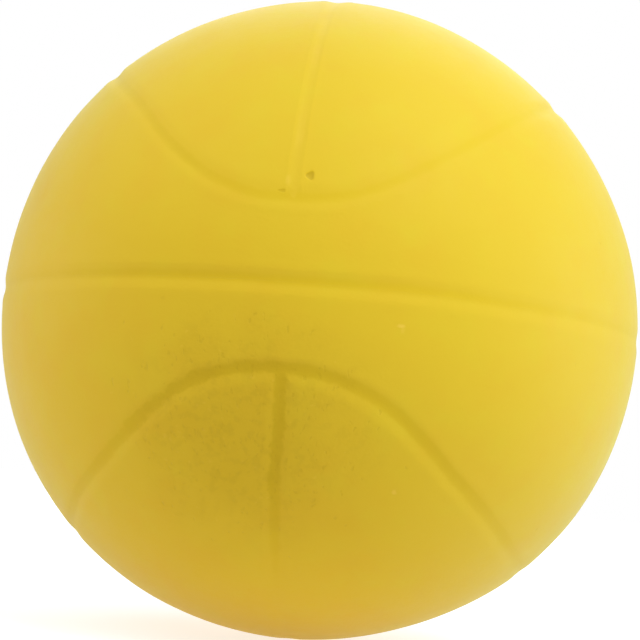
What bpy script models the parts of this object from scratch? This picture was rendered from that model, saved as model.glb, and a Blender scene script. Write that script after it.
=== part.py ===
"""Foam basketball: two moulded half-skins bonded round a solid foam core.

Metres, +Z up, origin at the centre of the ball. The plane z = 0 is the parting plane, where the
two half-skins meet in the bottom of the equatorial channel. Each half-skin has one closed oval
channel round the Z axis, longest along Y, and one centre channel in the plane x = 0, which runs
from the oval's front tip (-Y) over the pole to its rear tip. The band between the two ovals is
narrow at the front and rear and wide at the flanks, and no centre channel crosses it.
"""
import math

import bmesh
import bpy
from mathutils import Vector

# Ball
BALL_DIAMETER = 0.200
SKIN_THICKNESS = 0.0015
SKIN_TO_CORE_GAP = 0.0003
PARTING_GAP = 0.0003

# Channels, moulded into the skin
CHANNEL_WIDTH = 0.0075                        # lip to lip
CHANNEL_DEPTH = 0.0005
CHANNEL_SPREAD = 0.5                          # half-width gained per metre of inset, keeps the wall even
OVAL_TIP_LATITUDE = math.radians(13.0)        # oval channel at the front and rear
OVAL_FLANK_LATITUDE = math.radians(46.9)      # oval channel at the left and right
OVAL_SQUARENESS = 2.2                         # exponent of the oval seen from above, 2 is an ellipse

# Facets
CHANNEL_FACETS = 3                            # from the middle of a channel to its lip
CAP_FACETS_ACROSS = 5                         # from the centre channel's lip to the oval's flank
CAP_FACETS_ALONG = 16                         # from the front of a cap to its rear
CENTRE_LINES_SPREAD = 1.2                     # lip lines at the pole over the channel's half width
BAND_FACETS = 4                               # from the oval's lip to the equator's lip

# Finish
SKIN_COLOUR = (0.79, 0.545, 0.034, 1.0)
FOAM_COLOUR = (0.80, 0.60, 0.11, 1.0)
SKIN_ROUGHNESS = 0.62
FOAM_ROUGHNESS = 0.95

# Derived
BALL_RADIUS = BALL_DIAMETER / 2
OVAL_REACH_X = math.cos(OVAL_FLANK_LATITUDE)
OVAL_REACH_Y = math.cos(OVAL_TIP_LATITUDE)
SHARP_EDGE = math.radians(50)                 # the rims stay crisp, the channels shade smooth
WELD = BALL_RADIUS * 1e-5                     # points this close are one point


def direction(azimuth, colatitude):
    """Unit vector at an azimuth from +X and a colatitude from +Z."""
    level = math.sin(colatitude)
    return Vector((level * math.cos(azimuth), level * math.sin(azimuth), math.cos(colatitude)))


def oval_value(x, y):
    """1 on the oval seen from above on a ball of radius 1, less inside it, more outside."""
    across = abs(x / OVAL_REACH_X) ** OVAL_SQUARENESS
    along = abs(y / OVAL_REACH_Y) ** OVAL_SQUARENESS
    return (across + along) ** (1 / OVAL_SQUARENESS)


def oval_gradient(point):
    """How fast oval_value grows over the ball's surface at a point, as a tangent vector."""
    power = OVAL_SQUARENESS - 1
    level = oval_value(point.x, point.y) ** -power
    slope = Vector((0.0, 0.0, 0.0))
    slope.x = math.copysign(abs(point.x / OVAL_REACH_X) ** power * level / OVAL_REACH_X, point.x)
    slope.y = math.copysign(abs(point.y / OVAL_REACH_Y) ** power * level / OVAL_REACH_Y, point.y)
    return slope - point * slope.dot(point)


def oval_colatitude(azimuth):
    """Colatitude of the oval channel at an azimuth."""
    return math.asin(1 / oval_value(math.cos(azimuth), math.sin(azimuth)))


def oval_offset(azimuth, distance):
    """Change of colatitude that moves a point the given distance square away from the oval."""
    colatitude = oval_colatitude(azimuth)
    gradient = oval_gradient(direction(azimuth, colatitude)).normalized()
    downhill = direction(azimuth, colatitude + math.pi / 2)
    return distance / BALL_RADIUS / gradient.dot(downhill)


def lip_distance(inset):
    """Distance of a channel's lips from its middle, for a surface inset from the outside."""
    return CHANNEL_WIDTH / 2 + CHANNEL_SPREAD * inset


def channel_profile(distance, inset):
    """Depth of a channel at a distance from its middle, for a surface inset from the outside."""
    if distance >= lip_distance(inset):
        return 0.0
    return CHANNEL_DEPTH * math.cos(math.pi / 2 * distance / lip_distance(inset)) ** 2


def channel_depth(point, inset):
    """Depth of the deepest channel at a point of the upper half."""
    depth = channel_profile(BALL_RADIUS * math.asin(abs(point.z)), inset)
    value = oval_value(point.x, point.y)
    if value < 1:
        depth = max(depth, channel_profile(BALL_RADIUS * math.asin(abs(point.x)), inset))
    if value > 0:
        distance = BALL_RADIUS * abs(value - 1) / oval_gradient(point).length
        depth = max(depth, channel_profile(distance, inset))
    return depth


def surface_point(azimuth, colatitude, inset):
    """Point of the ball's surface, or of the surface inset from it, with its channels."""
    point = direction(azimuth, colatitude)
    return point * (BALL_RADIUS - inset - channel_depth(point, inset))


def rim_point(azimuth, inset, height):
    """Point at the bottom of the equatorial channel, at a height above the parting plane."""
    radius = BALL_RADIUS - inset - CHANNEL_DEPTH
    return Vector((radius * math.cos(azimuth), radius * math.sin(azimuth), height))


def cap_place(u, v):
    """Azimuth and reach, 1 at the oval, of the point u, v of a square drawn out to fill the oval."""
    x = OVAL_REACH_X * u * (1 - abs(v) ** OVAL_SQUARENESS / 2) ** (1 / OVAL_SQUARENESS)
    y = OVAL_REACH_Y * v * (1 - abs(u) ** OVAL_SQUARENESS / 2) ** (1 / OVAL_SQUARENESS)
    return math.atan2(y, x), oval_value(x, y)


def cap_point(u, v, inset):
    """Point of the cap inside the oval channel's inner lip, u and v run from -1 to 1."""
    azimuth, reach = cap_place(u, v)
    edge = oval_colatitude(azimuth) - oval_offset(azimuth, lip_distance(inset))
    return surface_point(azimuth, reach * edge, inset)


def band_point(azimuth, row, inset, rim_height):
    """Point of the band, whose rows run from the oval's inner lip down to the equator."""
    lip = lip_distance(inset)
    if row <= 2 * CHANNEL_FACETS:
        distance = lip * (row / CHANNEL_FACETS - 1)
        return surface_point(azimuth, oval_colatitude(azimuth) + oval_offset(azimuth, distance), inset)
    row -= 2 * CHANNEL_FACETS
    equator_lip = math.pi / 2 - lip / BALL_RADIUS
    if row <= BAND_FACETS:
        oval_lip = oval_colatitude(azimuth) + oval_offset(azimuth, lip)
        return surface_point(azimuth, oval_lip + (equator_lip - oval_lip) * row / BAND_FACETS, inset)
    row -= BAND_FACETS
    if row < CHANNEL_FACETS:
        return surface_point(azimuth, equator_lip + lip / BALL_RADIUS * row / CHANNEL_FACETS, inset)
    return rim_point(azimuth, inset, rim_height)


def cap_lines():
    """Grid lines of a cap: u is closer spaced over the centre channel, v is even."""
    pole_to_flank = BALL_RADIUS * oval_colatitude(0.0)
    lip = CENTRE_LINES_SPREAD * CHANNEL_WIDTH / 2 / pole_to_flank
    half = [lip * step / CHANNEL_FACETS for step in range(1, CHANNEL_FACETS + 1)]
    half += [lip + (1 - lip) * step / CAP_FACETS_ACROSS for step in range(1, CAP_FACETS_ACROSS + 1)]
    across = [-u for u in reversed(half)] + [0.0] + half
    along = [2 * step / CAP_FACETS_ALONG - 1 for step in range(CAP_FACETS_ALONG + 1)]
    return across, along


def add_patch(bm, columns, rows, place):
    """Lay a grid over the columns and rows and move each of its points to its place."""
    last_column, last_row = len(columns) - 1, len(rows) - 1
    grid = bmesh.ops.create_grid(bm, x_segments=last_column, y_segments=last_row, size=1.0)
    for vert in grid["verts"]:
        column = columns[round((vert.co.x + 1) / 2 * last_column)]
        row = rows[round((vert.co.y + 1) / 2 * last_row)]
        vert.co = place(column, row)


def band_sides():
    """Azimuths of the grid's columns on the four sides of the cap, corner to corner."""
    across, along = cap_lines()
    return [
        [cap_place(u, -1.0)[0] for u in across],
        [cap_place(1.0, v)[0] for v in along],
        [cap_place(u, 1.0)[0] for u in across],
        [cap_place(-1.0, v)[0] for v in along],
    ]


def add_half_surface(bm, inset, rim_height):
    """Add the upper half of the ball's surface, or of the surface inset from it, open below."""
    across, along = cap_lines()
    add_patch(bm, across, along, lambda u, v: cap_point(u, v, inset))
    rows = list(range(3 * CHANNEL_FACETS + BAND_FACETS + 1))
    for azimuths in band_sides():
        add_patch(bm, azimuths, rows, lambda turn, row: band_point(turn, row, inset, rim_height))


def mesh_from(bm, name):
    """Weld the patches, turn the faces outwards and make a smooth-shaded mesh."""
    bmesh.ops.remove_doubles(bm, verts=bm.verts, dist=WELD)
    bmesh.ops.recalc_face_normals(bm, faces=bm.faces)
    mesh = bpy.data.meshes.new(name)
    bm.to_mesh(mesh)
    bm.free()
    mesh.shade_smooth()
    mesh.set_sharp_from_angle(angle=SHARP_EDGE)
    return mesh


def half_skin_mesh():
    """Upper half-skin: the outside, the inside one thickness in, and the flat rim between them."""
    bm = bmesh.new()
    rim_height = PARTING_GAP / 2
    for inset in (0.0, SKIN_THICKNESS):
        add_half_surface(bm, inset, rim_height)
    for azimuths in band_sides():
        add_patch(bm, azimuths, [0.0, SKIN_THICKNESS], lambda turn, inset: rim_point(turn, inset, rim_height))
    return mesh_from(bm, "half_skin")


def half_core_mesh():
    """Upper half of the foam core, open at the parting plane."""
    bm = bmesh.new()
    add_half_surface(bm, SKIN_THICKNESS + SKIN_TO_CORE_GAP, 0.0)
    return mesh_from(bm, "half_core")


def make_material(name, colour, roughness):
    """Plain matt material."""
    material = bpy.data.materials.new(name)
    material.use_nodes = True
    shader = material.node_tree.nodes["Principled BSDF"]
    shader.inputs["Base Color"].default_value = colour
    shader.inputs["Roughness"].default_value = roughness
    shader.inputs["Metallic"].default_value = 0.0
    return material


def add_piece(name, mesh, collection, centre):
    """Put a piece of the ball into the collection, under the ball's centre."""
    piece = bpy.data.objects.new(name, mesh)
    piece.parent = centre
    collection.objects.link(piece)
    return piece


def add_triangles(piece):
    """Split the quads along their better diagonal."""
    split = piece.modifiers.new("even triangles", "TRIANGULATE")
    split.quad_method = "BEAUTY"
    split.ngon_method = "BEAUTY"


def add_skin(collection, centre):
    """Both half-skins. They have the same form, and the lower one is turned over about Y."""
    mesh = half_skin_mesh()
    mesh.materials.append(make_material("yellow_skin", SKIN_COLOUR, SKIN_ROUGHNESS))
    for name, turn in (("upper_skin", 0.0), ("lower_skin", math.pi)):
        half = add_piece(name, mesh, collection, centre)
        half.rotation_euler.y = turn
        add_triangles(half)


def add_core(collection, centre):
    """The foam core, one solid with the same form above and below the parting plane."""
    mesh = half_core_mesh()
    mesh.materials.append(make_material("yellow_foam", FOAM_COLOUR, FOAM_ROUGHNESS))
    core = add_piece("foam_core", mesh, collection, centre)
    mirror = core.modifiers.new("lower half", "MIRROR")
    mirror.use_axis = (False, False, True)
    mirror.merge_threshold = WELD
    add_triangles(core)


def clear_scene():
    """Remove the objects of the scene."""
    for item in list(bpy.data.objects):
        bpy.data.objects.remove(item, do_unlink=True)


def main():
    clear_scene()
    ball = bpy.data.collections.new("foam_basketball")
    bpy.context.scene.collection.children.link(ball)
    centre = bpy.data.objects.new("ball_centre", None)
    ball.objects.link(centre)
    add_skin(ball, centre)
    add_core(ball, centre)


main()
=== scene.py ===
"""Looks of a moulded yellow foam basketball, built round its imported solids.

The ball is two half-skins, which meet in the bottom of the equatorial channel, bonded round a
solid foam core. Metres, +Z up, origin at the centre of the ball, -Y towards the photographed side.
"""
import math

import bmesh
import bpy
import numpy as np
from bpy.props import FloatProperty, FloatVectorProperty, PointerProperty
from mathutils import Matrix, Vector, noise


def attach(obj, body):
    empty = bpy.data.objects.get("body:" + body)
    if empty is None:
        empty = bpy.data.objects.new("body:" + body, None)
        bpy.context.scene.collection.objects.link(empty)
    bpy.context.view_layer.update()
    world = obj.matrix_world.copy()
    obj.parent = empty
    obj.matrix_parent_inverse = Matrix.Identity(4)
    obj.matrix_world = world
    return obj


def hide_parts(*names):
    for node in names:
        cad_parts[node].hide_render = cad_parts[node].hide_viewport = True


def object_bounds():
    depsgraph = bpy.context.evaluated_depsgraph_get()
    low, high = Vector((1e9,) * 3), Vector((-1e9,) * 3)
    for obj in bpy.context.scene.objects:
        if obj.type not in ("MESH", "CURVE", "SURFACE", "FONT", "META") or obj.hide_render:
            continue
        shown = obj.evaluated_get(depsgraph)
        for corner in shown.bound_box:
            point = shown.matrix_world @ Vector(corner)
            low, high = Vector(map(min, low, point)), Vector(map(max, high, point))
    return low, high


bl_info = {
    "name": "Foam Basketball Looks",
    "version": (1, 0, 0),
    "blender": (4, 5, 0),
    "location": "3D View > Sidebar > Foam Ball",
    "description": "Dresses the solids of a moulded foam basketball with skin, foam and a stage",
    "category": "Object",
}

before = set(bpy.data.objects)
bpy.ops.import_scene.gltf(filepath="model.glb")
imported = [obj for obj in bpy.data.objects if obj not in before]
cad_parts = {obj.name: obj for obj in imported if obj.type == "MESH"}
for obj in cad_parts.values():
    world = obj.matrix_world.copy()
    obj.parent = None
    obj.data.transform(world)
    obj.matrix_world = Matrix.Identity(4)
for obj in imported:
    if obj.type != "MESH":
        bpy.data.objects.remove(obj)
CAD_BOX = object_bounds()
# The solids' facets lie a little inside the true ball, so its radius is rounded to the millimetre
CAD_RADIUS = round((CAD_BOX[1].x - CAD_BOX[0].x) / 2, 3)

# Grid lines of the skin's outside, of its hidden inside, and of the foam
FINE_LINES = {"channel": 15, "cap_across": 40, "cap_along": 170, "band": 36}
PLAIN_LINES = {"channel": 3, "cap_across": 6, "cap_along": 20, "band": 6}
FOAM_LINES = {"channel": 6, "cap_across": 30, "cap_along": 90, "band": 24}
CHANNEL_ZONE = 1.25             # half widths on each side of a channel that get the close lines
RIM_GAP = 0.00001               # between the two rims, a parting line that just closes
WELD = 1e-6                     # points closer than this become one
CORE_WELD = 2 * RIM_GAP         # the same where the two halves of the core join
TINY = 1e-6                     # keeps a divisor above zero
FAR_AWAY = 1.0                  # distance from a centre channel for places outside its oval
CRISP_ANGLE = math.radians(60)  # edges sharper than this are shaded crisp
PAINTED_LIGHT_AND_SOIL_LAYER = "soil_and_painted_light"             # the mesh attribute that holds each point's soil and painted shade, below 0 a painted highlight

# Shares of the full depth, width and soil of each channel, the soil partly painted shade and below 0 a
# painted highlight, and how far the soil lies up the equator's upper wall or out on an oval's outer wall,
# both walls in shade
CHANNELS = {
    "equator": {"depth": 1.0, "width": 1.0, "soil_and_painted_light": 0.75, "soil_and_shade_shift": 0.0005},
    "upper_oval": {"depth": 0.56, "width": 1.0, "soil_and_painted_light": 0.8, "soil_and_shade_shift": 0.0},
    "upper_centre": {"depth": 0.27, "width": 0.5, "soil_and_painted_light": -1.0, "soil_and_shade_shift": 0.0},
    "lower_oval": {"depth": 1.05, "width": 1.0, "soil_and_painted_light": 1.0, "soil_and_shade_shift": 0.0009},
    "lower_centre": {"depth": 1.0, "width": 1.0, "soil_and_painted_light": 1.0, "soil_and_shade_shift": 0.0},
}
# Between two latitudes a centre channel grows to full width and changes to a share of its depth
POLES = {
    "upper": (math.radians(60), math.radians(74), 3.4),
    "lower": (math.radians(30), math.radians(62), 0.35),
}
# Between two reaches towards its flanks, in radii, an oval changes to a share of its depth
FLANKS = {
    "upper": (0.58, 0.67, 2.4),
    "lower": (0.20, 0.60, 0.62),
}
# Where the channels are shallower: azimuth right of the front and latitude in degrees, reach in
# radians, and the share of the depth that is lost
SHALLOWS = (
    (48.0, -4.0, 0.75, 0.6),
    (-45.0, 0.0, 0.25, 0.6),
    (-6.5, 13.8, 0.06, 0.45),
    (38.0, 29.0, 0.20, 0.5),
)
# Where a channel strays from its line: azimuth right of the front and latitude in degrees, reach in
# radians, and how far in metres, an oval towards its pole, the equator down, and, seen from the front,
# the upper centre channel to the left and the lower one to the right
STRAYS = (
    ("equator", 21.0, 0.0, 0.20, -0.0004),
    ("upper_oval", -35.0, 31.0, 0.22, 0.0017),
    ("upper_oval", 15.5, 17.6, 0.18, 0.00043),
    ("upper_oval", 75.0, 45.0, 0.45, -0.0038),
    ("upper_centre", -0.6, 23.0, 0.20, 0.0007),
    ("lower_oval", -33.0, -28.5, 0.13, 0.0008),
    ("lower_oval", -14.8, -15.9, 0.06, -0.0004),
    ("lower_oval", 3.0, -12.5, 0.14, 0.00034),
    ("lower_oval", 18.6, -17.8, 0.07, -0.00038),
    ("lower_oval", 32.0, -27.5, 0.12, 0.0007),
    ("lower_centre", 0.5, -16.3, 0.125, 0.0006),
)
LIP_CREST = 1.1                 # half widths from a channel's line to the top of its lip
LIP_SPREAD = 0.3                # half widths over which the lip falls away
WIDTH_CHANGE = 0.10             # share by which noise changes a channel's width

# Slow unevenness of the moulding: angle below +X seen from the front, width in radians, height in metres
BULGES = (
    (math.radians(36), 0.37, 0.0009),
    (math.radians(71), 0.26, -0.0007),
    (math.radians(133), 0.42, 0.0008),
    (math.radians(190), 0.44, -0.0016),
    (math.radians(272), 0.36, 0.0009),
    (math.radians(300), 0.24, -0.0006),
    (math.radians(328), 0.30, -0.0006),
)
DIMPLE_SHARE = 0.5              # height of the dimples as a share of the lumps

# Noise in the shape: its grain in metres, and a seed that sets it apart from the others
WANDER_NOISE = (0.016, 3.0)
WIDTH_NOISE = (0.006, 5.0)
LUMP_NOISE = (0.045, 11.0)
DIMPLE_NOISE = (0.018, 17.0)
SEED_STEP = (1.0, 1.7, 0.3)     # where one unit of seed moves the noise

# Pock marks left by burst bubbles: azimuth right of the front, latitude, half width, half height,
# depth, and soil, which above 1 is a pock's own dirt
POCKS = (
    (math.radians(2.1), math.radians(16.8), 0.0013, 0.0015, 0.0003, 2.0),
    (math.radians(-2.0), math.radians(14.0), 0.0012, 0.0006, 0.0001, 1.5),
)
POCK_CORNERS = 3
POCK_SWING = 0.15               # share by which its outline swings in and out between corners
POCK_PATCH = 2.5                # reach of the closer faces round a pock, in its larger half size
POCK_CUTS = (2, 1)              # cuts in each edge there, one round after the other
POCK_SOIL_EDGE = 0.5            # share of its depth from which it is fully soiled

# Noise in the skin's colour: scale and detail. Below, a TINT is the share of another colour that shows,
# and an EDGE is the two values between which a mark comes up or fades out
PATCHY_NOISE = (90.0, 3.0)
BLOTCH_NOISE = (380.0, 4.0)
RAGGED_NOISE = (330.0, 5.0)
SMEAR_NOISE = (900.0, 2.0)
NOISE_MEAN = 0.5

# Worn, dirty area below the front of the equator. There, a value named SCUFFED below is added to the
# one named ELSEWHERE
SCUFF_CENTRE = (-0.008, -0.092, -0.038)
SCUFF_SPREAD = (0.036, 0.060, 0.032)
SCUFF_EDGE = (0.6, 1.6)         # spreads between which it fades out
SCUFF_UNEVEN = 0.8              # spreads by which noise moves that edge
SCUFF_TINT = 0.30
BLOTCH_EDGE = (0.48, 0.66)
BLOTCH_TINT = 0.14

# Burst cells, drawn out upwards, and rubbed flecks: their share in the scuffed area and elsewhere
PITS = {"Scale": 800.0, "Size": 0.40, "Raggedness": 0.0022}
PIT_STRETCH = (1.0, 1.0, 0.55)
PIT_SHARE_SCUFFED = 0.55
PIT_SHARE_ELSEWHERE = 0.001
PIT_TINT = 0.15
PIT_DEPTH = 0.6                 # in the bump, beside a grain of 1
FLECKS = {"Scale": 560.0, "Size": 0.30, "Raggedness": 0.0026}
FLECK_SHARE = 0.5               # of the share of burst cells
FLECK_TINT = 0.10

# Soil and painted shade in the channels: where they start and are full, how ragged their edge is, and how
# thick they lie
SOIL_AND_SHADE_EDGE = (0.36, 0.86)
SOIL_AND_SHADE_RAGGED_SCUFFED = 0.8
SOIL_AND_SHADE_RAGGED_ELSEWHERE = 0.3
SOIL_THICK_SCUFFED = 0.25
# Painted shade added to the channels on the left side
PAINTED_SHADE_LEFT = 0.07
LEFT_RISE = (0.06, -0.05)       # X over which the left side's painted shade grows, from none to full
LEFT_END = (-0.078, -0.05)      # the same from the rim inwards
PAINTED_CHANNEL_SHADE_TINT = 0.35                # painted shade: a deeper yellow under the soil and painted shade in the channels
# Patches with more or less soil and painted shade in the channels: centre, reach, thickness
SOIL_AND_SHADE_PATCHES = (
    ((0.045, -0.077, -0.044), 0.035, 0.08),
    ((-0.033, -0.088, 0.035), 0.020, 0.05),
    ((0.0, -0.079, -0.061), 0.012, -0.04),
)
# Here the edge of the soil and painted shade is more ragged: centre, reach, raggedness
RAGGED_SOIL_AND_SHADE = ((-0.036, -0.086, -0.035), 0.022, 1.5)
PATCH_EDGE = (0.3, 1.3)         # reaches between which a patch fades out
# Soil below 0 is a painted highlight, more in some patches, and above 1 it is a pock's dirt: limits and
# tints
PALE_EDGE = (-0.1, -0.8)
PALE_PATCHES = (0.35, 0.65, 0.02, 0.12)
POCK_DIRT = (1.0, 2.0, 0.0, 0.45)

# Pale smears: place on the ball, half lengths along the axes, strength
SMEARS = (
    ((0.0302, -0.0949, -0.0087), (0.0016, 0.0040, 0.0007), 0.50),
    ((0.0307, -0.0947, -0.0097), (0.0008, 0.0040, 0.0014), 0.20),
    ((0.0312, -0.0799, -0.0513), (0.0009, 0.0040, 0.0011), 0.40),
    ((-0.0021, -0.0962, 0.0272), (0.0010, 0.0040, 0.0022), 0.22),
)
SMEAR_EDGE = (0.6, 1.5)         # half lengths between which a smear fades out

# Surface of the skin
SKIN_MOTTLING = {"Scale": 55.0, "Amount": 0.5}
SKIN_GRAIN = {"Scale": 1100.0, "Softness": 0.45}
SKIN_GRAIN_SCUFFED = 0.9        # added to its height in the scuffed area
SKIN_GRAIN_ELSEWHERE = 0.6
SKIN_BUMP = {"Strength": 0.5, "Distance": 0.0002}
SKIN_GLOSS_EDGE = (0.3, 1.0)    # grain and scuffs between which the roughness grows
SKIN_GLOSS_SCUFFED = 0.3
SKIN_ROUGHNESS_SPREAD = (-0.06, 0.16)
SKIN_SHEEN = {
    "Specular IOR Level": 0.12,
    "Sheen Weight": 0.23,
    "Sheen Roughness": 0.45,
    "Sheen Tint": (0.55, 1.0, 0.85, 1.0),
}

# Surface of the foam
FOAM_MOTTLING = {"Scale": 90.0, "Amount": 0.3}
FOAM_CELLS = {"Scale": 900.0, "Size": 0.45, "Share": 0.85}
FOAM_CELL_TINT = 0.5
FOAM_CELL_SHADE = 0.5           # colour inside a cell as a share of the foam's
FOAM_GRAIN = {"Scale": 1600.0, "Softness": 0.2}
FOAM_BUMP = {"Strength": 0.8, "Distance": 0.0004}
FOAM_ROUGHNESS = (0.3, 0.7, 0.88, 1.0)
FOAM_SHEEN = {"Specular IOR Level": 0.15}

# Lamps: name, azimuth to the right of the front, elevation, distance, width, watts, colour
LAMPS = (
    ("key_softbox", 45.0, 48.0, 1.5, 1.0, 16.5, (0.94, 1.0, 1.0)),
    ("left_softbox", -45.0, 48.0, 1.5, 1.0, 7.4, (1.0, 0.94, 0.91)),
    ("right_panel", 95.0, 12.0, 1.5, 0.9, 8.9, (0.86, 0.97, 1.0)),
    ("left_panel", -95.0, 7.0, 1.5, 0.6, 6.0, (1.0, 0.87, 0.66)),
    ("top_softbox", 0.0, 82.0, 1.5, 1.0, 1.6, (0.50, 0.92, 1.0)),
    ("rear_panel", 180.0, 45.0, 1.5, 1.2, 7.2, (1.0, 1.0, 1.0)),
    ("back_softbox", 185.3, 5.5, 1.5, 0.5, 5.5, (1.0, 1.0, 1.0)),
)

# White surround, and a pale floor: how it changes to the eye, and in its glow, between two distances
# from its middle
WHITE = (1.0, 1.0, 1.0)
FLOOR_COLOUR = (0.52, 0.55, 0.62)
FLOOR_REACH = 3.0
FLOOR_PARTS = 8
FLOOR_LIFT = (0.15, 0.9, 0.68, 1.0)
FLOOR_GLOW = (0.03, 0.12, 1.8, 1.0)

# Where the ball sits in a square picture, in pixels
PICTURE = 640
BALL_CENTRE = (318.5, 321.8)
BALL_SPREAD = 318.9             # from its centre to its edge
SENSOR = 36.0                   # width of the camera's sensor in millimetres


class BallForm(bpy.types.PropertyGroup):
    """Sizes of the ball's skin, channels and core."""

    radius: FloatProperty(name="Radius", description="Outside of the ball", default=CAD_RADIUS,
                          precision=4, unit="LENGTH")
    skin: FloatProperty(name="Skin", description="Thickness of the moulded skin", default=0.0015,
                        precision=5, unit="LENGTH")
    bond: FloatProperty(name="Bond", description="Gap between skin and foam", default=0.0003,
                        precision=5, unit="LENGTH")
    channel_width: FloatProperty(name="Channel Width", description="Lip to lip", default=0.0075,
                                 precision=5, unit="LENGTH")
    channel_depth: FloatProperty(name="Channel Depth", description="Below the surface", default=0.00045,
                                 precision=5, unit="LENGTH")
    lip_height: FloatProperty(name="Lip Height", description="Swell beside a channel", default=0.00003,
                              precision=5, unit="LENGTH")
    tip_latitude: FloatProperty(name="Tip Latitude", description="Oval channel at front and rear",
                                default=math.radians(13.0), subtype="ANGLE")
    flank_latitude: FloatProperty(name="Flank Latitude", description="Oval channel at the flanks",
                                  default=math.radians(46.9), subtype="ANGLE")
    squareness: FloatProperty(name="Squareness", description="Exponent of the oval, 2 is an ellipse",
                              default=2.2)
    lumps: FloatProperty(name="Lumps", description="Height of the small random lumps", default=0.00018,
                         precision=5, unit="LENGTH")
    wander: FloatProperty(name="Wander", description="Small random bends of the channels",
                          default=0.00025, precision=5, unit="LENGTH")


class SkinFinish(bpy.types.PropertyGroup):
    """Colours and gloss of the skin and the foam."""

    yellow: FloatVectorProperty(name="Yellow", description="Main colour of the skin", size=3,
                                default=(0.78, 0.534, 0.0215), subtype="COLOR", min=0.0, max=1.0)
    warm: FloatVectorProperty(name="Warm", description="Warmer patches of the skin", size=3,
                              default=(0.78, 0.50, 0.0205), subtype="COLOR", min=0.0, max=1.0)
    lemon: FloatVectorProperty(name="Lemon", description="Greener patches of the skin", size=3,
                               default=(0.77, 0.563, 0.0225), subtype="COLOR", min=0.0, max=1.0)
    foam: FloatVectorProperty(name="Foam", description="Main colour of the foam", size=3,
                              default=(0.80, 0.60, 0.11), subtype="COLOR", min=0.0, max=1.0)
    # Also the colour of the painted highlight along the upper centre channel
    smear_and_highlight: FloatVectorProperty(name="Smear", description="Pale rubbed marks", size=3,
                               default=(0.96, 0.66, 0.10), subtype="COLOR", min=0.0, max=1.0)
    # Painted shade: a deeper yellow inside the channels
    painted_channel_shade: FloatVectorProperty(name="Deep", description="Unrubbed skin inside the channels", size=3,
                              default=(0.74, 0.50, 0.0), subtype="COLOR", min=0.0, max=1.0)
    scuffed: FloatVectorProperty(name="Scuffed", description="Worn skin below the equator", size=3,
                                 default=(0.61, 0.387, 0.014), subtype="COLOR", min=0.0, max=1.0)
    # Dirt in blotches, burst cells and pock marks, and dirt with painted shade in the channels
    soil_and_painted_light: FloatVectorProperty(name="Soil", description="Dirt in channels and burst cells", size=3,
                              default=(0.46, 0.285, 0.009), subtype="COLOR", min=0.0, max=1.0)
    roughness: FloatProperty(name="Roughness", description="Mean roughness of the skin", default=0.58,
                             min=0.0, max=1.0)


class StageSetting(bpy.types.PropertyGroup):
    """Camera, fill light and table top."""

    azimuth: FloatProperty(name="Azimuth", description="Camera to the right of the front",
                           default=math.radians(5.3), subtype="ANGLE")
    elevation: FloatProperty(name="Elevation", description="Camera above the equator",
                             default=math.radians(-5.5), subtype="ANGLE")
    roll: FloatProperty(name="Roll", description="Lean of the ball to the right in the picture",
                        default=math.radians(4.8), subtype="ANGLE")
    distance: FloatProperty(name="Distance", description="Camera to the ball's centre", default=0.5,
                            unit="LENGTH")
    fill: FloatProperty(name="Fill", description="Light from all round", default=0.12)
    table: FloatProperty(name="Table", description="Light from the translucent table top", default=0.28)
    table_colour: FloatVectorProperty(name="Table Colour", description="Of the light from below", size=3,
                                      default=(0.98, 0.77, 0.47), subtype="COLOR", min=0.0, max=1.0)


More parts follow.
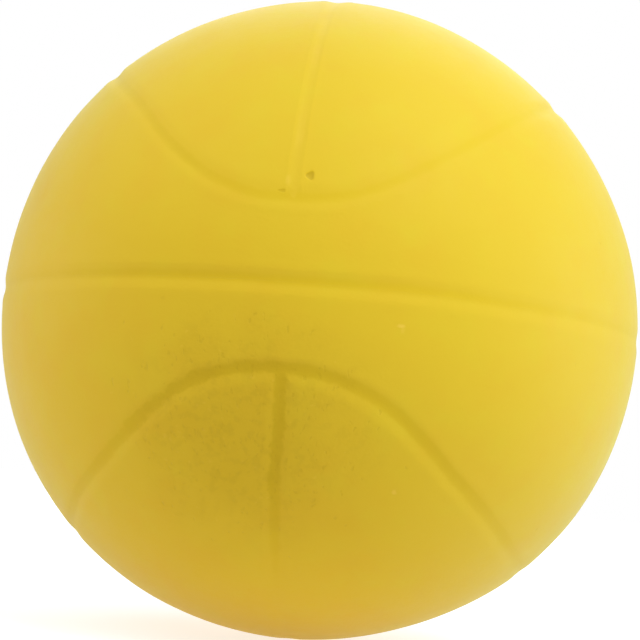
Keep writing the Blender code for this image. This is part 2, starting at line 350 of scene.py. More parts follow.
class ChannelNet:
    """Channel lines of the upper half, as directions from the centre, on a ball of unit radius."""

    def __init__(self, form):
        self.radius = form.radius
        self.reach_x = math.cos(form.flank_latitude)
        self.reach_y = math.cos(form.tip_latitude)
        self.power = form.squareness

    def value(self, x, y):
        """1 on the oval seen from above, less inside it, more outside."""
        across = np.abs(x / self.reach_x) ** self.power
        along = np.abs(y / self.reach_y) ** self.power
        return (across + along) ** (1 / self.power)

    def steepness(self, points):
        """How fast value grows over the ball's surface, as tangent vectors."""
        level = np.maximum(self.value(points[..., 0], points[..., 1]), TINY) ** (1 - self.power)
        slope = np.zeros_like(points)
        for axis, reach in enumerate((self.reach_x, self.reach_y)):
            part = points[..., axis] / reach
            slope[..., axis] = np.sign(part) * np.abs(part) ** (self.power - 1) * level / reach
        return slope - points * np.sum(slope * points, axis=-1, keepdims=True)

    def oval_distance(self, points):
        """Metres from the oval line, negative inside it."""
        steep = np.maximum(np.linalg.norm(self.steepness(points), axis=-1), TINY)
        return self.radius * (self.value(points[..., 0], points[..., 1]) - 1) / steep

    def colatitude(self, azimuth):
        """Colatitude of the oval line at an azimuth."""
        return np.arcsin(1 / self.value(np.cos(azimuth), np.sin(azimuth)))

    def shift(self, azimuth, distance):
        """Change of colatitude that moves a point square away from the oval line."""
        colatitude = self.colatitude(azimuth)
        steep = self.steepness(sphere_points(azimuth, colatitude))
        downhill = sphere_points(azimuth, colatitude + math.pi / 2)
        slant = np.sum(steep * downhill, axis=-1) / np.linalg.norm(steep, axis=-1)
        return distance / self.radius / slant

    def cap(self, across, along, edge):
        """Directions of a square grid drawn out to fill the oval up to an edge inside it."""
        u, v = np.meshgrid(across, along)
        x = self.reach_x * u * (1 - np.abs(v) ** self.power / 2) ** (1 / self.power)
        y = self.reach_y * v * (1 - np.abs(u) ** self.power / 2) ** (1 / self.power)
        azimuth = np.arctan2(y, x)
        inner = self.colatitude(azimuth) + self.shift(azimuth, -edge)
        return azimuth, sphere_points(azimuth, self.value(x, y) * inner)

    def band(self, azimuth, lines, edge):
        """Directions of the rows from the oval's inner edge down to the equator."""
        oval = self.colatitude(azimuth)
        gaps = np.linspace(-edge, edge, 2 * lines["channel"] + 1)
        rows = [oval + self.shift(azimuth, gap) for gap in gaps]
        top = rows[-1]
        bottom = math.pi / 2 - edge / self.radius
        rows += [top + (bottom - top) * part for part in np.linspace(0, 1, lines["band"] + 1)[1:]]
        low = np.linspace(bottom, math.pi / 2, lines["channel"] + 1)[1:]
        rows += [np.full_like(oval, colatitude) for colatitude in low]
        return sphere_points(azimuth, np.array(rows))


def sphere_points(azimuth, colatitude):
    """Unit vectors at an azimuth from +X and a colatitude from +Z."""
    level = np.sin(colatitude)
    return np.stack(np.broadcast_arrays(level * np.cos(azimuth), level * np.sin(azimuth),
                                        np.cos(colatitude)), axis=-1)


def view_direction(azimuth, elevation):
    """Direction from the ball towards a viewer to the right of the front and above the equator."""
    level = math.cos(elevation)
    return Vector((math.sin(azimuth) * level, -math.cos(azimuth) * level, math.sin(elevation)))


def view_axes(azimuth, elevation):
    """Direction towards a viewer, and that viewer's right and up."""
    back = view_direction(azimuth, elevation)
    right = Vector((math.cos(azimuth), math.sin(azimuth), 0.0))
    return back, right, back.cross(right)


def wobble(points, grain, seed):
    """Smooth random value from -1 to 1 that changes over about a grain, in metres."""
    start = Vector([seed * step for step in SEED_STEP])
    values = [noise.noise(Vector(point) + start) for point in points.reshape(-1, 3) / grain]
    return np.array(values).reshape(points.shape[:-1])


def groove(ratio):
    """Depth share of a soft groove, 1 in the middle and 0 from a ratio of 1 outwards."""
    return np.cos(math.pi / 2 * np.minimum(ratio, 1)) ** 2


def smooth_step(value, low, high):
    """0 below low, 1 above high and a smooth rise between."""
    share = np.clip((value - low) / (high - low), 0, 1)
    return share * share * (3 - 2 * share)


def soft_spot(places, direction, width):
    """1 in a direction, falling softly to 0 around it over a width in radians."""
    turn = np.arccos(np.clip(places @ np.array(direction), -1, 1))
    return np.exp(-(turn / width) ** 2)


def patch_share(places, azimuth, latitude, width):
    """Soft spot at an azimuth right of the front and a latitude, both in degrees."""
    return soft_spot(places, view_direction(math.radians(azimuth), math.radians(latitude)), width)


def stray_of(name, places):
    """How far a channel has strayed from its line at each place."""
    total = np.zeros(places.shape[:-1])
    for channel, azimuth, latitude, width, drift in STRAYS:
        if channel == name:
            total += drift * patch_share(places, azimuth, latitude, width)
    return total


def channel_lines(net, pattern, side, wander):
    """Channels of one half: name, distance from its line, shares of depth and of soil and painted light,
    and widening.
    """
    half = "upper" if side > 0 else "lower"
    latitude = np.arcsin(np.clip(pattern[..., 2], -1, 1))
    low, high, polar_depth = POLES[half]
    polar = smooth_step(latitude, low, high)
    polar_share = 1 + (polar_depth - 1) * polar
    near, far, flank_depth = FLANKS[half]
    flank_share = 1 + (flank_depth - 1) * smooth_step(np.abs(pattern[..., 0]), near, far)
    inside = net.value(pattern[..., 0], pattern[..., 1]) < 1
    middle = net.radius * np.arcsin(pattern[..., 0])
    return (
        ("equator", side * net.radius * latitude, 1.0, 1.0, 0.0),
        (half + "_oval", net.oval_distance(pattern) + wander, flank_share, 1.0, 0.0),
        (half + "_centre", np.where(inside, middle + wander, FAR_AWAY), polar_share, polar_share, polar),
    )


def channel_relief(form, net, pattern, places, side, inset):
    """Height of the channels and their lips over the plain ball, and their soil and painted shade, below 0
    a painted highlight.
    """
    spots = places * net.radius
    wander = form.wander * wobble(spots, *WANDER_NOISE)
    lip = (form.channel_width / 2 + inset / 2) * (1 + WIDTH_CHANGE * wobble(spots, *WIDTH_NOISE))
    shallow = np.ones(pattern.shape[:-1])
    for azimuth, latitude, width, loss in SHALLOWS:
        shallow *= 1 - loss * patch_share(places, azimuth, latitude, width)
    depth = np.zeros(pattern.shape[:-1])
    soil_and_painted_light = np.zeros(pattern.shape[:-1])
    swell = np.zeros(pattern.shape[:-1])
    for name, distance, share, dirt_and_shade, widening in channel_lines(net, pattern, side, wander):
        channel = CHANNELS[name]
        distance = distance + stray_of(name, places)
        reach = lip * (channel["width"] + (1 - channel["width"]) * widening)
        dip = share * groove(np.abs(distance) / reach)
        depth = np.maximum(depth, channel["depth"] * shallow * dip)
        # Soil and painted shade in the channel, moved onto its shaded wall; below 0 a painted highlight
        channel_soil_and_painted_light = channel["soil_and_painted_light"] * dirt_and_shade * groove(np.abs(distance - channel["soil_and_shade_shift"]) / reach)
        soil_and_painted_light = np.where(np.abs(channel_soil_and_painted_light) > np.abs(soil_and_painted_light), channel_soil_and_painted_light, soil_and_painted_light)
        beside = (np.abs(distance) / reach - LIP_CREST) / LIP_SPREAD
        swell = np.maximum(swell, share * np.exp(-beside ** 2))
    height = form.lip_height * swell * (1 - np.minimum(depth, 1)) - form.channel_depth * depth
    return height, soil_and_painted_light


def body_relief(form, places):
    """Height of the slow unevenness of the moulding."""
    spots = places * form.radius
    dimples = DIMPLE_SHARE * wobble(spots, *DIMPLE_NOISE)
    height = form.lumps * (wobble(spots, *LUMP_NOISE) + dimples)
    for angle, width, rise in BULGES:
        height = height + rise * soft_spot(places, (math.cos(angle), 0.0, -math.sin(angle)), width)
    return height


def place_half(pattern, side):
    """Turn directions of the upper pattern to their half of the ball, side 1 above and -1 below."""
    return pattern * np.array((side, 1.0, side))


def half_surface(form, lines, side, inset):
    """Vertices, faces, and soil and painted light of one half of the ball's surface, open at the equator.
    """
    net = ChannelNet(form)
    edge = CHANNEL_ZONE * form.channel_width / 2
    close = edge / (net.radius * float(net.colatitude(np.array(0.0))))
    half = np.concatenate([np.linspace(0, close, lines["channel"] + 1)[1:],
                           np.linspace(close, 1, lines["cap_across"] + 1)[1:]])
    across = np.concatenate([-half[::-1], [0.0], half])
    along = np.linspace(-1, 1, lines["cap_along"] + 1)
    azimuth, cap = net.cap(across, along, edge)
    ring = np.concatenate([azimuth[0, :-1], azimuth[:-1, -1], azimuth[-1, :0:-1], azimuth[:0:-1, 0]])
    band = net.band(ring, lines, edge)

    points, faces, painted_light_and_soil_values = [], [], []
    for pattern, closed in ((cap, False), (band, True)):
        places = place_half(pattern, side)
        height, soil_and_painted_light = channel_relief(form, net, pattern, places, side, inset)
        radius = net.radius - inset + height + body_relief(form, places)
        faces += grid_faces(pattern.shape[0], pattern.shape[1], closed, len(points))
        points += (places * radius[..., None]).reshape(-1, 3).tolist()
        painted_light_and_soil_values += soil_and_painted_light.reshape(-1).tolist()
    for point in points[-len(ring):]:
        point[2] = side * RIM_GAP / 2
    return points, faces, painted_light_and_soil_values


def grid_faces(rows, columns, closed, first):
    """Quads of a grid of points, numbered row by row, joined end to end where it is closed."""
    faces = []
    for row in range(rows - 1):
        low = first + row * columns
        high = low + columns
        for column in range(columns if closed else columns - 1):
            beside = (column + 1) % columns
            faces.append((low + column, low + beside, high + beside, high + column))
    return faces


def add_surface(bm, form, lines, side, inset):
    """Add one half of a surface to a mesh and return all open rims."""
    points, faces, painted_light_and_soil_values = half_surface(form, lines, side, inset)
    layer = bm.verts.layers.float.get(PAINTED_LIGHT_AND_SOIL_LAYER) or bm.verts.layers.float.new(PAINTED_LIGHT_AND_SOIL_LAYER)
    verts = [bm.verts.new(point) for point in points]
    for vert, soil_and_painted_light in zip(verts, painted_light_and_soil_values):
        vert[layer] = soil_and_painted_light
    for face in faces:
        bm.faces.new([verts[index] for index in face])
    bmesh.ops.remove_doubles(bm, verts=verts, dist=WELD)
    return [edge for edge in bm.edges if edge.is_boundary]


def press_pock(bm, form, pock):
    """Press one roughly three-cornered pock mark into the outside, on a patch of closer faces."""
    azimuth, latitude, half_width, half_height, depth, soil_and_painted_light = pock
    axis, right, up = view_axes(azimuth, latitude)
    layer = bm.verts.layers.float[PAINTED_LIGHT_AND_SOIL_LAYER]
    patch = POCK_PATCH * max(half_width, half_height) / form.radius

    def is_near(vert):
        """Whether a point lies on the patch."""
        return (vert.co.normalized() - axis).length < patch

    for cuts in POCK_CUTS:
        near = [edge for edge in bm.edges if all(is_near(vert) for vert in edge.verts)]
        bmesh.ops.subdivide_edges(bm, edges=near, cuts=cuts, use_grid_fill=True)
    cut = [face for face in bm.faces if any(is_near(vert) for vert in face.verts)]
    bmesh.ops.triangulate(bm, faces=cut, quad_method="BEAUTY", ngon_method="BEAUTY")
    for vert in filter(is_near, bm.verts):
        away = vert.co.normalized() - axis
        across = away.dot(right) * form.radius / half_width
        along = away.dot(up) * form.radius / half_height
        swing = 1 + POCK_SWING * math.cos(POCK_CORNERS * math.atan2(along, across))
        share = max(0.0, 1 - (across ** 2 + along ** 2) * swing ** 2)
        vert.co -= axis * depth * share
        vert[layer] = max(vert[layer], soil_and_painted_light * min(1.0, share / POCK_SOIL_EDGE))


def finish_mesh(bm, name):
    """Turn the faces outwards and make a smooth-shaded mesh with crisp rims."""
    bmesh.ops.recalc_face_normals(bm, faces=bm.faces)
    mesh = bpy.data.meshes.new(name)
    bm.to_mesh(mesh)
    bm.free()
    mesh.shade_smooth()
    mesh.set_sharp_from_angle(angle=CRISP_ANGLE)
    return mesh


def half_skin_mesh(form, name, side):
    """Closed half-skin: fine outside, plain inside, flat rim at the parting line."""
    bm = bmesh.new()
    add_surface(bm, form, FINE_LINES, side, 0.0)
    if side > 0:
        for pock in POCKS:
            press_pock(bm, form, pock)
    rims = add_surface(bm, form, PLAIN_LINES, side, form.skin)
    bmesh.ops.triangle_fill(bm, edges=rims, use_beauty=True)
    return finish_mesh(bm, name)


def core_mesh(form, name):
    """Closed foam core with the same channels, one skin and one bond further in."""
    bm = bmesh.new()
    for side in (1, -1):
        add_surface(bm, form, FOAM_LINES, side, form.skin + form.bond)
    bmesh.ops.remove_doubles(bm, verts=bm.verts, dist=CORE_WELD)
    return finish_mesh(bm, name)


# Sockets of a Mix node that hold its share, two colours and result
MIX_INPUTS = (0, 6, 7)
MIX_RESULT = 2
FLOAT, COLOUR, VECTOR = "NodeSocketFloat", "NodeSocketColor", "NodeSocketVector"


class NodeSet:
    """Adds nodes to a tree, linking the inputs that are given as sockets."""

    def __init__(self, tree):
        self.tree = tree

    def add(self, kind, inputs=None, **attributes):
        """New node with its attributes set and its inputs fed."""
        node = self.tree.nodes.new(kind)
        for name, value in attributes.items():
            setattr(node, name, value)
        self.feed_all(node, inputs or {})
        return node

    def feed(self, socket, value):
        """Link a socket to an input, or set its plain value."""
        if isinstance(value, bpy.types.NodeSocket):
            self.tree.links.new(value, socket)
        else:
            socket.default_value = value

    def feed_all(self, node, inputs):
        """Feed several inputs of a node by name or number."""
        for name, value in inputs.items():
            self.feed(node.inputs[name], value)

    def math(self, operation, first, second):
        """Two values joined by an operation."""
        return self.add("ShaderNodeMath", {0: first, 1: second}, operation=operation).outputs[0]

    def times(self, first, second):
        """Product of two values."""
        return self.math("MULTIPLY", first, second)

    def plus(self, first, second):
        """Sum of two values."""
        return self.math("ADD", first, second)

    def vector(self, operation, first, second):
        """Two vectors joined by an operation."""
        node = self.add("ShaderNodeVectorMath", {0: first, 1: second}, operation=operation)
        return node.outputs["Vector"]

    def length(self, vector):
        """Length of a vector."""
        return self.add("ShaderNodeVectorMath", {0: vector}, operation="LENGTH").outputs["Value"]

    def ramp(self, value, low, high, start=0.0, end=1.0):
        """Smooth step from start at low to end at high."""
        limits = {"Value": value, "From Min": low, "From Max": high, "To Min": start, "To Max": end}
        return self.add("ShaderNodeMapRange", limits, interpolation_type="SMOOTHSTEP").outputs["Result"]

    def mix(self, share, first, second):
        """First colour with a share of the second."""
        node = self.add("ShaderNodeMix", data_type="RGBA")
        self.feed_all(node, dict(zip(MIX_INPUTS, (share, first, second))))
        return node.outputs[MIX_RESULT]

    def noise(self, vector, scale, detail):
        """Soft noise about 0.5."""
        node = self.add("ShaderNodeTexNoise", {"Vector": vector, "Scale": scale, "Detail": detail})
        return node.outputs["Fac"]


def new_group(name, inputs, outputs):
    """Shader node group with named sockets. Returns its tree, node set, input and output nodes."""
    tree = bpy.data.node_groups.new(name, "ShaderNodeTree")
    for socket, (kind, default) in inputs.items():
        made = tree.interface.new_socket(socket, in_out="INPUT", socket_type=kind)
        if default is not None:
            made.default_value = default
    for socket, kind in outputs.items():
        tree.interface.new_socket(socket, in_out="OUTPUT", socket_type=kind)
    nodes = NodeSet(tree)
    return tree, nodes, nodes.add("NodeGroupInput").outputs, nodes.add("NodeGroupOutput")


def mottling_group(name):
    """Soft patches of two neighbouring hues over a main colour."""
    detail = 3.0
    warm_edge = (0.45, 0.72)
    lemon_edge = (0.48, 0.75)
    lemon_closer = 1.37
    tree, nodes, given, out = new_group(
        name,
        {"Vector": (VECTOR, None), "Colour": (COLOUR, None), "Warm": (COLOUR, None),
         "Lemon": (COLOUR, None), "Scale": (FLOAT, 60.0), "Amount": (FLOAT, 0.5)},
        {"Colour": COLOUR})
    warm = nodes.ramp(nodes.noise(given["Vector"], given["Scale"], detail), *warm_edge)
    closer = nodes.times(given["Scale"], lemon_closer)
    lemon = nodes.ramp(nodes.noise(given["Vector"], closer, detail), *lemon_edge)
    colour = nodes.mix(nodes.times(warm, given["Amount"]), given["Colour"], given["Warm"])
    colour = nodes.mix(nodes.times(lemon, given["Amount"]), colour, given["Lemon"])
    nodes.feed(out.inputs["Colour"], colour)
    return tree


def burst_cell_group(name):
    """Scattered ragged pits, where cells of the foam broke the surface."""
    least_size = 0.5
    wall = (0.3, 1.0)
    tree, nodes, given, out = new_group(
        name,
        {"Vector": (VECTOR, None), "Scale": (FLOAT, 300.0), "Size": (FLOAT, 0.25), "Share": (FLOAT, 0.2),
         "Raggedness": (FLOAT, 0.0)},
        {"Pit": FLOAT})
    swirl = nodes.add("ShaderNodeTexNoise", {"Vector": given["Vector"], "Scale": given["Scale"]})
    pull = nodes.vector("SUBTRACT", swirl.outputs["Color"], (NOISE_MEAN, NOISE_MEAN, NOISE_MEAN))
    pull = nodes.vector("MULTIPLY", pull, given["Raggedness"])
    torn = nodes.vector("ADD", given["Vector"], pull)
    cells = nodes.add("ShaderNodeTexVoronoi", {"Vector": torn, "Scale": given["Scale"]})
    chance = nodes.add("ShaderNodeSeparateColor", {"Color": cells.outputs["Color"]}).outputs
    chosen = nodes.math("LESS_THAN", chance["Red"], given["Share"])
    size = nodes.times(given["Size"], nodes.plus(least_size, chance["Green"]))
    dip = nodes.ramp(nodes.math("DIVIDE", cells.outputs["Distance"], size), *wall, 1.0, 0.0)
    nodes.feed(out.inputs["Pit"], nodes.times(dip, chosen))
    return tree


def grain_group(name):
    """Fine uneven grain of a moulded foam surface, as a height about 0.5."""
    fine_detail = 3.0
    broad_detail = 2.0
    broad_share = 0.17
    tree, nodes, given, out = new_group(
        name,
        {"Vector": (VECTOR, None), "Scale": (FLOAT, 900.0), "Softness": (FLOAT, 0.5)},
        {"Height": FLOAT})
    fine = nodes.noise(given["Vector"], given["Scale"], fine_detail)
    broad = nodes.noise(given["Vector"], nodes.times(given["Scale"], broad_share), broad_detail)
    height = nodes.add("ShaderNodeMix", {"Factor": given["Softness"], "A": fine, "B": broad},
                       data_type="FLOAT")
    nodes.feed(out.inputs["Height"], height.outputs["Result"])
    return tree


SHARED_GROUPS = {
    "foam_mottling": mottling_group,
    "burst_cells": burst_cell_group,
    "foam_grain": grain_group,
}


def use_group(nodes, name, inputs):
    """Place a shared node group in a material with its own values, and make it on its first use."""
    tree = bpy.data.node_groups.get(name) or SHARED_GROUPS[name](name)
    return nodes.add("ShaderNodeGroup", inputs, node_tree=tree).outputs


def opaque(colour):
    """Colour with full alpha."""
    return (*colour, 1.0)


def new_material(name):
    """Material with an empty tree but for its shader and output."""
    material = bpy.data.materials.new(name)
    material.use_nodes = True
    return material, NodeSet(material.node_tree), material.node_tree.nodes["Principled BSDF"]


def blot(nodes, spot, centre, spread):
    """Distance from a place on the ball in units of a spread along each axis."""
    share = nodes.vector("DIVIDE", nodes.vector("SUBTRACT", spot, centre), spread)
    return nodes.length(share)


def round_patch(nodes, spot, place, reach, amount):
    """An amount in the middle of a round patch of the ball, fading to 0 around it."""
    return nodes.ramp(blot(nodes, spot, place, (reach, reach, reach)), *PATCH_EDGE, amount, 0.0)


def mottled(nodes, spot, finish, main, values):
    """A main colour with the ball's warmer and greener patches."""
    return use_group(nodes, "foam_mottling", {
        "Vector": spot, "Colour": opaque(main), "Warm": opaque(finish.warm),
        "Lemon": opaque(finish.lemon), **values})["Colour"]


def scuff_mask(nodes, spot, patchy):
    """1 in the scuffed area, fading out over an uneven edge."""
    away = nodes.plus(blot(nodes, spot, SCUFF_CENTRE, SCUFF_SPREAD), nodes.times(patchy, SCUFF_UNEVEN))
    return nodes.ramp(away, *SCUFF_EDGE, 1.0, 0.0)


def scuffed_skin(nodes, spot, finish, colour, scuff):
    """Colour with blotches, burst cells and flecks, rare outside the scuffed area, and the cells' mask."""
    dirt_and_shade = opaque(finish.soil_and_painted_light)
    colour = nodes.mix(nodes.times(scuff, SCUFF_TINT), colour, opaque(finish.scuffed))
    blotch = nodes.times(nodes.ramp(nodes.noise(spot, *BLOTCH_NOISE), *BLOTCH_EDGE), scuff)
    colour = nodes.mix(nodes.times(blotch, BLOTCH_TINT), colour, dirt_and_shade)
    share = nodes.plus(nodes.times(scuff, PIT_SHARE_SCUFFED), PIT_SHARE_ELSEWHERE)
    drawn = nodes.vector("MULTIPLY", spot, PIT_STRETCH)
    pits = use_group(nodes, "burst_cells", {"Vector": drawn, "Share": share, **PITS})["Pit"]
    fewer = nodes.times(share, FLECK_SHARE)
    flecks = use_group(nodes, "burst_cells", {"Vector": spot, "Share": fewer, **FLECKS})["Pit"]
    colour = nodes.mix(nodes.times(flecks, FLECK_TINT), colour, opaque(finish.smear_and_highlight))
    colour = nodes.mix(nodes.times(pits, PIT_TINT), colour, dirt_and_shade)
    return colour, pits


def soiled_and_shaded_skin(nodes, spot, finish, colour, scuff, patchy):
    """Colour with soil and painted shade in the channels, a painted highlight in one, and dirt in the pock
    marks.

    The soil and painted shade are thickest on the left, mostly painted shade there, in some patches and in
    the scuffed area, where the edge is also more ragged. Under them a deeper yellow adds painted shade.
    """
    dirt_and_shade = opaque(finish.soil_and_painted_light)
    soil_and_painted_light = nodes.add("ShaderNodeAttribute", attribute_name=PAINTED_LIGHT_AND_SOIL_LAYER).outputs["Fac"]
    loose = nodes.plus(nodes.times(scuff, SOIL_AND_SHADE_RAGGED_SCUFFED), SOIL_AND_SHADE_RAGGED_ELSEWHERE)
    loose = nodes.plus(loose, round_patch(nodes, spot, *RAGGED_SOIL_AND_SHADE))
    ragged = nodes.times(nodes.math("SUBTRACT", nodes.noise(spot, *RAGGED_NOISE), NOISE_MEAN), loose)
    shade_and_soil_mask = nodes.ramp(nodes.plus(soil_and_painted_light, ragged), *SOIL_AND_SHADE_EDGE)
    across = nodes.add("ShaderNodeSeparateXYZ", {0: spot}).outputs["X"]
    # Painted shade, heavier in the channels on the left side
    left = nodes.times(nodes.ramp(across, *LEFT_RISE), nodes.ramp(across, *LEFT_END))
    thick = nodes.plus(nodes.times(scuff, SOIL_THICK_SCUFFED), nodes.times(left, PAINTED_SHADE_LEFT))
    # Patches with more or less soil and painted shade in the channels
    for patch in SOIL_AND_SHADE_PATCHES:
        thick = nodes.plus(thick, round_patch(nodes, spot, *patch))
    # Painted shade: a deeper yellow in the channels
    colour = nodes.mix(nodes.times(shade_and_soil_mask, PAINTED_CHANNEL_SHADE_TINT), colour, opaque(finish.painted_channel_shade))
    # Soil and painted shade in the channels
    colour = nodes.mix(nodes.times(shade_and_soil_mask, thick), colour, dirt_and_shade)
    # Painted highlight along the upper centre channel, in the smear colour, more in some patches
    pale = nodes.times(nodes.ramp(soil_and_painted_light, *PALE_EDGE), nodes.ramp(patchy, *PALE_PATCHES))
    colour = nodes.mix(pale, colour, opaque(finish.smear_and_highlight))
    return nodes.mix(nodes.ramp(soil_and_painted_light, *POCK_DIRT), colour, dirt_and_shade)


def smeared_skin(nodes, spot, finish, colour):
    """Colour with a few pale smears."""
    for place, spread, strength in SMEARS:
        away = nodes.plus(blot(nodes, spot, place, spread), nodes.noise(spot, *SMEAR_NOISE))
        colour = nodes.mix(nodes.ramp(away, *SMEAR_EDGE, strength, 0.0), colour, opaque(finish.smear_and_highlight))
    return colour


def skin_material(finish):
    """Matt moulded skin: soft mottling, a scuffed front, soil and painted shade in the channels with a
    painted highlight in one, smears and grain.
    """
    material, nodes, shader = new_material("yellow_skin")
    spot = nodes.add("ShaderNodeTexCoord").outputs["Object"]
    patchy = nodes.noise(spot, *PATCHY_NOISE)
    scuff = scuff_mask(nodes, spot, patchy)
    grain = use_group(nodes, "foam_grain", {"Vector": spot, **SKIN_GRAIN})["Height"]
    colour = mottled(nodes, spot, finish, finish.yellow, SKIN_MOTTLING)
    colour, pits = scuffed_skin(nodes, spot, finish, colour, scuff)
    colour = soiled_and_shaded_skin(nodes, spot, finish, colour, scuff, patchy)
    colour = smeared_skin(nodes, spot, finish, colour)

    gloss = nodes.plus(grain, nodes.times(scuff, SKIN_GLOSS_SCUFFED))
    limits = [finish.roughness + change for change in SKIN_ROUGHNESS_SPREAD]
    roughness = nodes.ramp(gloss, *SKIN_GLOSS_EDGE, *limits)
    rise = nodes.plus(nodes.times(scuff, SKIN_GRAIN_SCUFFED), SKIN_GRAIN_ELSEWHERE)
    height = nodes.math("SUBTRACT", nodes.times(grain, rise), nodes.times(pits, PIT_DEPTH))
    bump = nodes.add("ShaderNodeBump", {"Height": height, **SKIN_BUMP}).outputs["Normal"]
    nodes.feed_all(shader, {"Base Color": colour, "Roughness": roughness, "Normal": bump, **SKIN_SHEEN})
    return material


def foam_material(finish):
    """Open-cell foam of the core: close cells over a mottled body."""
    material, nodes, shader = new_material("yellow_foam")
    spot = nodes.add("ShaderNodeTexCoord").outputs["Object"]
    cells = use_group(nodes, "burst_cells", {"Vector": spot, **FOAM_CELLS})["Pit"]
    grain = use_group(nodes, "foam_grain", {"Vector": spot, **FOAM_GRAIN})["Height"]
    colour = mottled(nodes, spot, finish, finish.foam, FOAM_MOTTLING)
    inside = opaque([FOAM_CELL_SHADE * part for part in finish.foam])
    colour = nodes.mix(nodes.times(cells, FOAM_CELL_TINT), colour, inside)
    roughness = nodes.ramp(grain, *FOAM_ROUGHNESS)
    height = nodes.math("SUBTRACT", grain, cells)
    bump = nodes.add("ShaderNodeBump", {"Height": height, **FOAM_BUMP}).outputs["Normal"]
    nodes.feed_all(shader, {"Base Color": colour, "Roughness": roughness, "Normal": bump, **FOAM_SHEEN})
    return material


def add_piece(context, mesh, material, node):
    """Put a foam piece in the scene in place of its solid."""
    piece = bpy.data.objects.new(mesh.name, mesh)
    mesh.materials.append(material)
    context.scene.collection.objects.link(piece)
    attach(piece, "root")
    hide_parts(node)


class FOAMBALL_OT_skins(bpy.types.Operator):
    """Mould the two half-skins"""

    bl_idname = "foam_ball.skins"
    bl_label = "Mould Half-Skins"

    def execute(self, context):
        scene = context.scene
        material = skin_material(scene.foam_ball_finish)
        for name, side in (("upper_skin", 1), ("lower_skin", -1)):
            mesh = half_skin_mesh(scene.foam_ball_form, "moulded_" + name, side)
            add_piece(context, mesh, material, name)
        return {"FINISHED"}


class FOAMBALL_OT_core(bpy.types.Operator):
    """Fill the skin with its foam core"""

    bl_idname = "foam_ball.core"
    bl_label = "Fill With Foam"

    def execute(self, context):
        scene = context.scene
        mesh = core_mesh(scene.foam_ball_form, "cellular_foam_core")
        add_piece(context, mesh, foam_material(scene.foam_ball_finish), "foam_core")
        return {"FINISHED"}


def seen_and_lit(nodes, seen, lit):
    """Shader that shows one shader to camera, glossy and transmission rays and lights with another."""
    path = nodes.add("ShaderNodeLightPath").outputs
    looking = nodes.math("MAXIMUM", path["Is Camera Ray"], path["Is Glossy Ray"])
    looking = nodes.math("MAXIMUM", looking, path["Is Transmission Ray"])
    return nodes.add("ShaderNodeMixShader", {0: looking, 1: lit, 2: seen}).outputs[0]


def make_world(context, stage):
    """White all round to the eye, an even fill to the ball."""
    world = bpy.data.worlds.new("white_surround")
    world.use_nodes = True
    nodes = NodeSet(world.node_tree)
    white, fill = (nodes.add("ShaderNodeBackground", {"Color": opaque(WHITE), "Strength": strength})
                   for strength in (1.0, stage.fill))
    output = world.node_tree.nodes["World Output"]
    nodes.feed(output.inputs["Surface"], seen_and_lit(nodes, white.outputs[0], fill.outputs[0]))
    context.scene.world = world


def floor_material(stage):
    """Pale floor, nearly white to the eye, that glows softly from below, most under the ball."""
    material, nodes, shader = new_material("pale_floor")
    nodes.tree.nodes.remove(shader)
    pale = nodes.add("ShaderNodeBsdfDiffuse", {"Color": opaque(FLOOR_COLOUR)}).outputs[0]
    away = nodes.length(nodes.add("ShaderNodeTexCoord").outputs["Object"])
    lift = nodes.add("ShaderNodeEmission", {"Strength": nodes.ramp(away, *FLOOR_LIFT)}).outputs[0]
    strength = nodes.times(nodes.ramp(away, *FLOOR_GLOW), stage.table)
    under = {"Color": opaque(stage.table_colour), "Strength": strength}
    glow = nodes.add("ShaderNodeEmission", under).outputs[0]
    seen = nodes.add("ShaderNodeAddShader", {0: pale, 1: lift}).outputs[0]
    lit = nodes.add("ShaderNodeAddShader", {0: pale, 1: glow}).outputs[0]
    output = nodes.tree.nodes["Material Output"]
    nodes.feed(output.inputs["Surface"], seen_and_lit(nodes, seen, lit))
    return material


def make_floor(context, stage, form):
    """Plain floor under the ball that keeps its shadow."""
    bm = bmesh.new()
    bmesh.ops.create_grid(bm, x_segments=FLOOR_PARTS, y_segments=FLOOR_PARTS, size=FLOOR_REACH)
    mesh = bpy.data.meshes.new("pale_floor")
    bm.to_mesh(mesh)
    bm.free()
    mesh.materials.append(floor_material(stage))
    floor = bpy.data.objects.new("pale_floor", mesh)
    floor.location.z = -form.radius
    context.scene.collection.objects.link(floor)


def make_lamp(context, name, azimuth, elevation, distance, width, watts, colour):
    """Soft square lamp that faces the ball."""
    light = bpy.data.lights.new(name, "AREA")
    light.size = width
    light.energy = watts
    light.color = colour
    lamp = bpy.data.objects.new(name, light)
    back = view_direction(math.radians(azimuth), math.radians(elevation))
    lamp.location = back * distance
    lamp.rotation_euler = back.to_track_quat("Z", "Y").to_euler()
    context.scene.collection.objects.link(lamp)


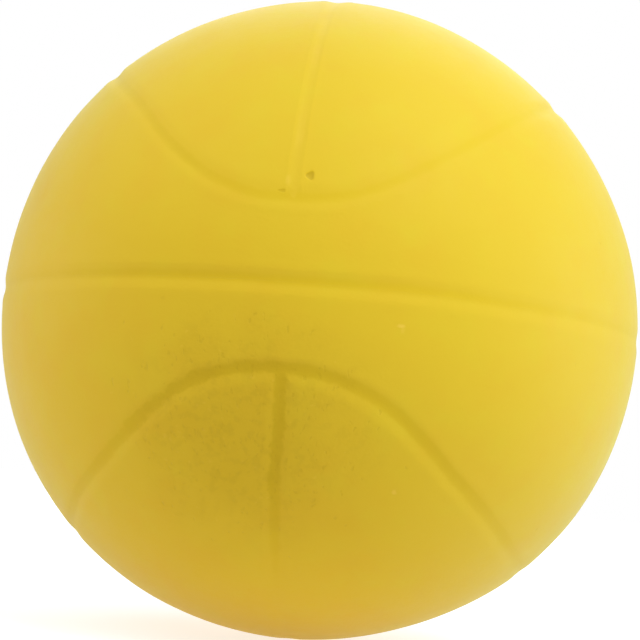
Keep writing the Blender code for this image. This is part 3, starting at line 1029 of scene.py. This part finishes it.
def make_camera(context, stage, form):
    """Camera at the photograph's angle and framing."""
    back, right, up = view_axes(stage.azimuth, stage.elevation)
    camera_right = right * math.cos(stage.roll) + up * math.sin(stage.roll)
    camera_up = up * math.cos(stage.roll) - right * math.sin(stage.roll)
    data = bpy.data.cameras.new("camera")
    camera = bpy.data.objects.new("camera", data)
    turn = Matrix((camera_right, camera_up, back)).transposed()
    camera.matrix_world = Matrix.Translation(back * stage.distance) @ turn.to_4x4()
    limb = math.tan(math.asin(form.radius / stage.distance))
    data.sensor_width = SENSOR
    data.lens = SENSOR * BALL_SPREAD / limb / PICTURE
    data.shift_x = (PICTURE / 2 - BALL_CENTRE[0]) / PICTURE
    data.shift_y = (BALL_CENTRE[1] - PICTURE / 2) / PICTURE
    context.scene.collection.objects.link(camera)
    context.scene.camera = camera


class FOAMBALL_OT_stage(bpy.types.Operator):
    """Set the pale floor, the lamps and the camera"""

    bl_idname = "foam_ball.stage"
    bl_label = "Set the Stage"

    def execute(self, context):
        scene = context.scene
        scene.view_settings.view_transform = "Standard"
        make_world(context, scene.foam_ball_stage)
        make_floor(context, scene.foam_ball_stage, scene.foam_ball_form)
        for lamp in LAMPS:
            make_lamp(context, *lamp)
        make_camera(context, scene.foam_ball_stage, scene.foam_ball_form)
        return {"FINISHED"}


GROUPS = {"foam_ball_form": BallForm, "foam_ball_finish": SkinFinish, "foam_ball_stage": StageSetting}
STEPS = (FOAMBALL_OT_skins, FOAMBALL_OT_core, FOAMBALL_OT_stage)


class FOAMBALL_PT_panel(bpy.types.Panel):
    """Lists the settings and the steps that dress the ball"""

    bl_idname = "FOAMBALL_PT_panel"
    bl_label = "Foam Basketball"
    bl_space_type = "VIEW_3D"
    bl_region_type = "UI"
    bl_category = "Foam Ball"

    def draw(self, context):
        for group in GROUPS:
            box = self.layout.box()
            settings = getattr(context.scene, group)
            for name in settings.bl_rna.properties.keys():
                if name not in ("rna_type", "name"):
                    box.prop(settings, name)
        for step in STEPS:
            self.layout.operator(step.bl_idname)


CLASSES = (*GROUPS.values(), *STEPS, FOAMBALL_PT_panel)


def register():
    """Make the settings, steps and panel known to Blender."""
    for made in CLASSES:
        bpy.utils.register_class(made)
    for name, group in GROUPS.items():
        setattr(bpy.types.Scene, name, PointerProperty(type=group))


def unregister():
    """Take the settings, steps and panel away again."""
    for name in GROUPS:
        delattr(bpy.types.Scene, name)
    for made in reversed(CLASSES):
        bpy.utils.unregister_class(made)


def main():
    """Dress the ball and set the stage."""
    register()
    bpy.ops.foam_ball.skins()
    bpy.ops.foam_ball.core()
    bpy.ops.foam_ball.stage()
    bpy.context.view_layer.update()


if __name__ == "__main__":
    main()
